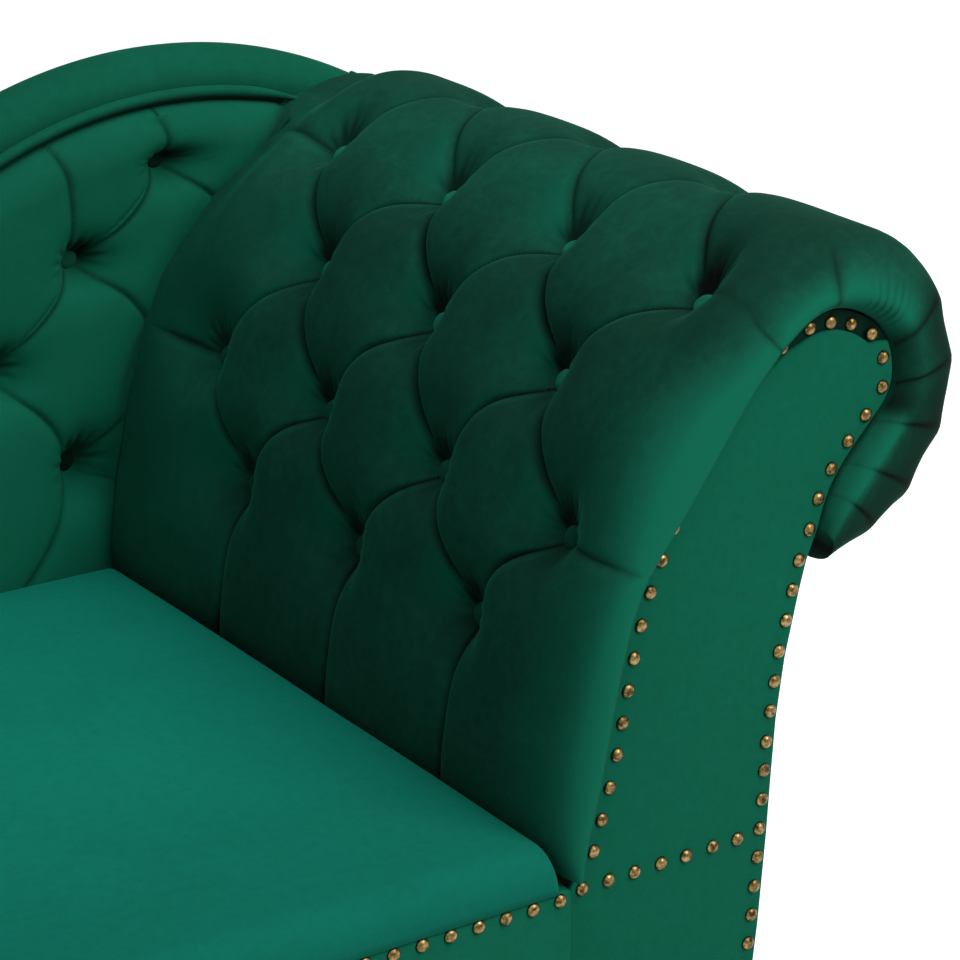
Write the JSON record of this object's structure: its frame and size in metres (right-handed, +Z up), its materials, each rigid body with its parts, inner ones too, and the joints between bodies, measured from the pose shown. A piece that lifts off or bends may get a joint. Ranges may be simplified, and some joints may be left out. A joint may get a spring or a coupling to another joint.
{
  "type": "fainting couch",
  "caption": "Chaise couch with one rolled, button-tufted arm, a tufted back that sweeps down to the foot, a plain seat and turned legs.",
  "frame": {"origin": "middle of the couch's bounding box, on the floor", "axes": "+X along the couch's length, towards the head end with the arm; +Y towards the back; +Z up"},
  "size_m": [1.6504, 0.714, 0.8067],
  "materials": {
    "velvet_tufted": "emerald velvet, button tufted",
    "velvet_plain": "emerald velvet, drawn smooth",
    "velvet_button": "emerald velvet over button moulds",
    "frame_wood": "sawn softwood",
    "plywood": "plywood",
    "leg_wood": "turned hardwood, dark lacquer",
    "webbing": "woven jute webbing",
    "foam": "upholstery foam",
    "bolt_steel": "zinc plated",
    "dust_cloth": "black spunbonded cloth",
    "nail_brass": "antique brass"
  },
  "bodies": {
    "root": {"arm_button_row_fifth": "velvet_button", "arm_button_row_first": "velvet_button", "arm_button_row_fourth": "velvet_button", "arm_button_row_second": "velvet_button", "arm_button_row_sixth": "velvet_button", "arm_button_row_third": "velvet_button", "arm_deck": "plywood", "arm_front_facing": "velvet_plain", "arm_front_scroll_board": "plywood", "arm_inner_rail": "frame_wood", "arm_neck_rail": "frame_wood", "arm_outside_panel": "velvet_plain", "arm_rear_scroll_board": "plywood", "arm_tufted_pad": "velvet_tufted", "back_board": "plywood", "back_button_row_first": "velvet_button", "back_button_row_fourth": "velvet_button", "back_button_row_second": "velvet_button", "back_button_row_third": "velvet_button", "back_rail": "frame_wood", "back_top_roll": "velvet_plain", "back_tufted_pad": "velvet_tufted", "back_welt": "velvet_plain", "corner_block_front_foot": "frame_wood", "corner_block_front_head": "frame_wood", "corner_block_rear_foot": "frame_wood", "corner_block_rear_head": "frame_wood", "crosswise_webbing_1": "webbing", "crosswise_webbing_2": "webbing", "crosswise_webbing_3": "webbing", "crosswise_webbing_4": "webbing", "crosswise_webbing_5": "webbing", "crosswise_webbing_6": "webbing", "dust_cover": "dust_cloth", "foot_border_cover": "velvet_plain", "foot_end_rail": "frame_wood", "front_border_cover": "velvet_plain", "front_rail": "frame_wood", "head_end_rail": "frame_wood", "leg_bolt_front_foot": "bolt_steel", "leg_bolt_front_head": "bolt_steel", "leg_bolt_rear_foot": "bolt_steel", "leg_bolt_rear_head": "bolt_steel", "leg_front_foot": "leg_wood", "leg_front_head": "leg_wood", "leg_rear_foot": "leg_wood", "leg_rear_head": "leg_wood", "lengthwise_webbing_1": "webbing", "lengthwise_webbing_2": "webbing", "lengthwise_webbing_3": "webbing", "lengthwise_webbing_4": "webbing", "outside_back_panel": "velvet_plain", "seat_brace": "frame_wood", "seat_cover": "velvet_plain", "seat_foam": "foam", "seat_rear_batten": "frame_wood"}
  },
  "joints": []
}
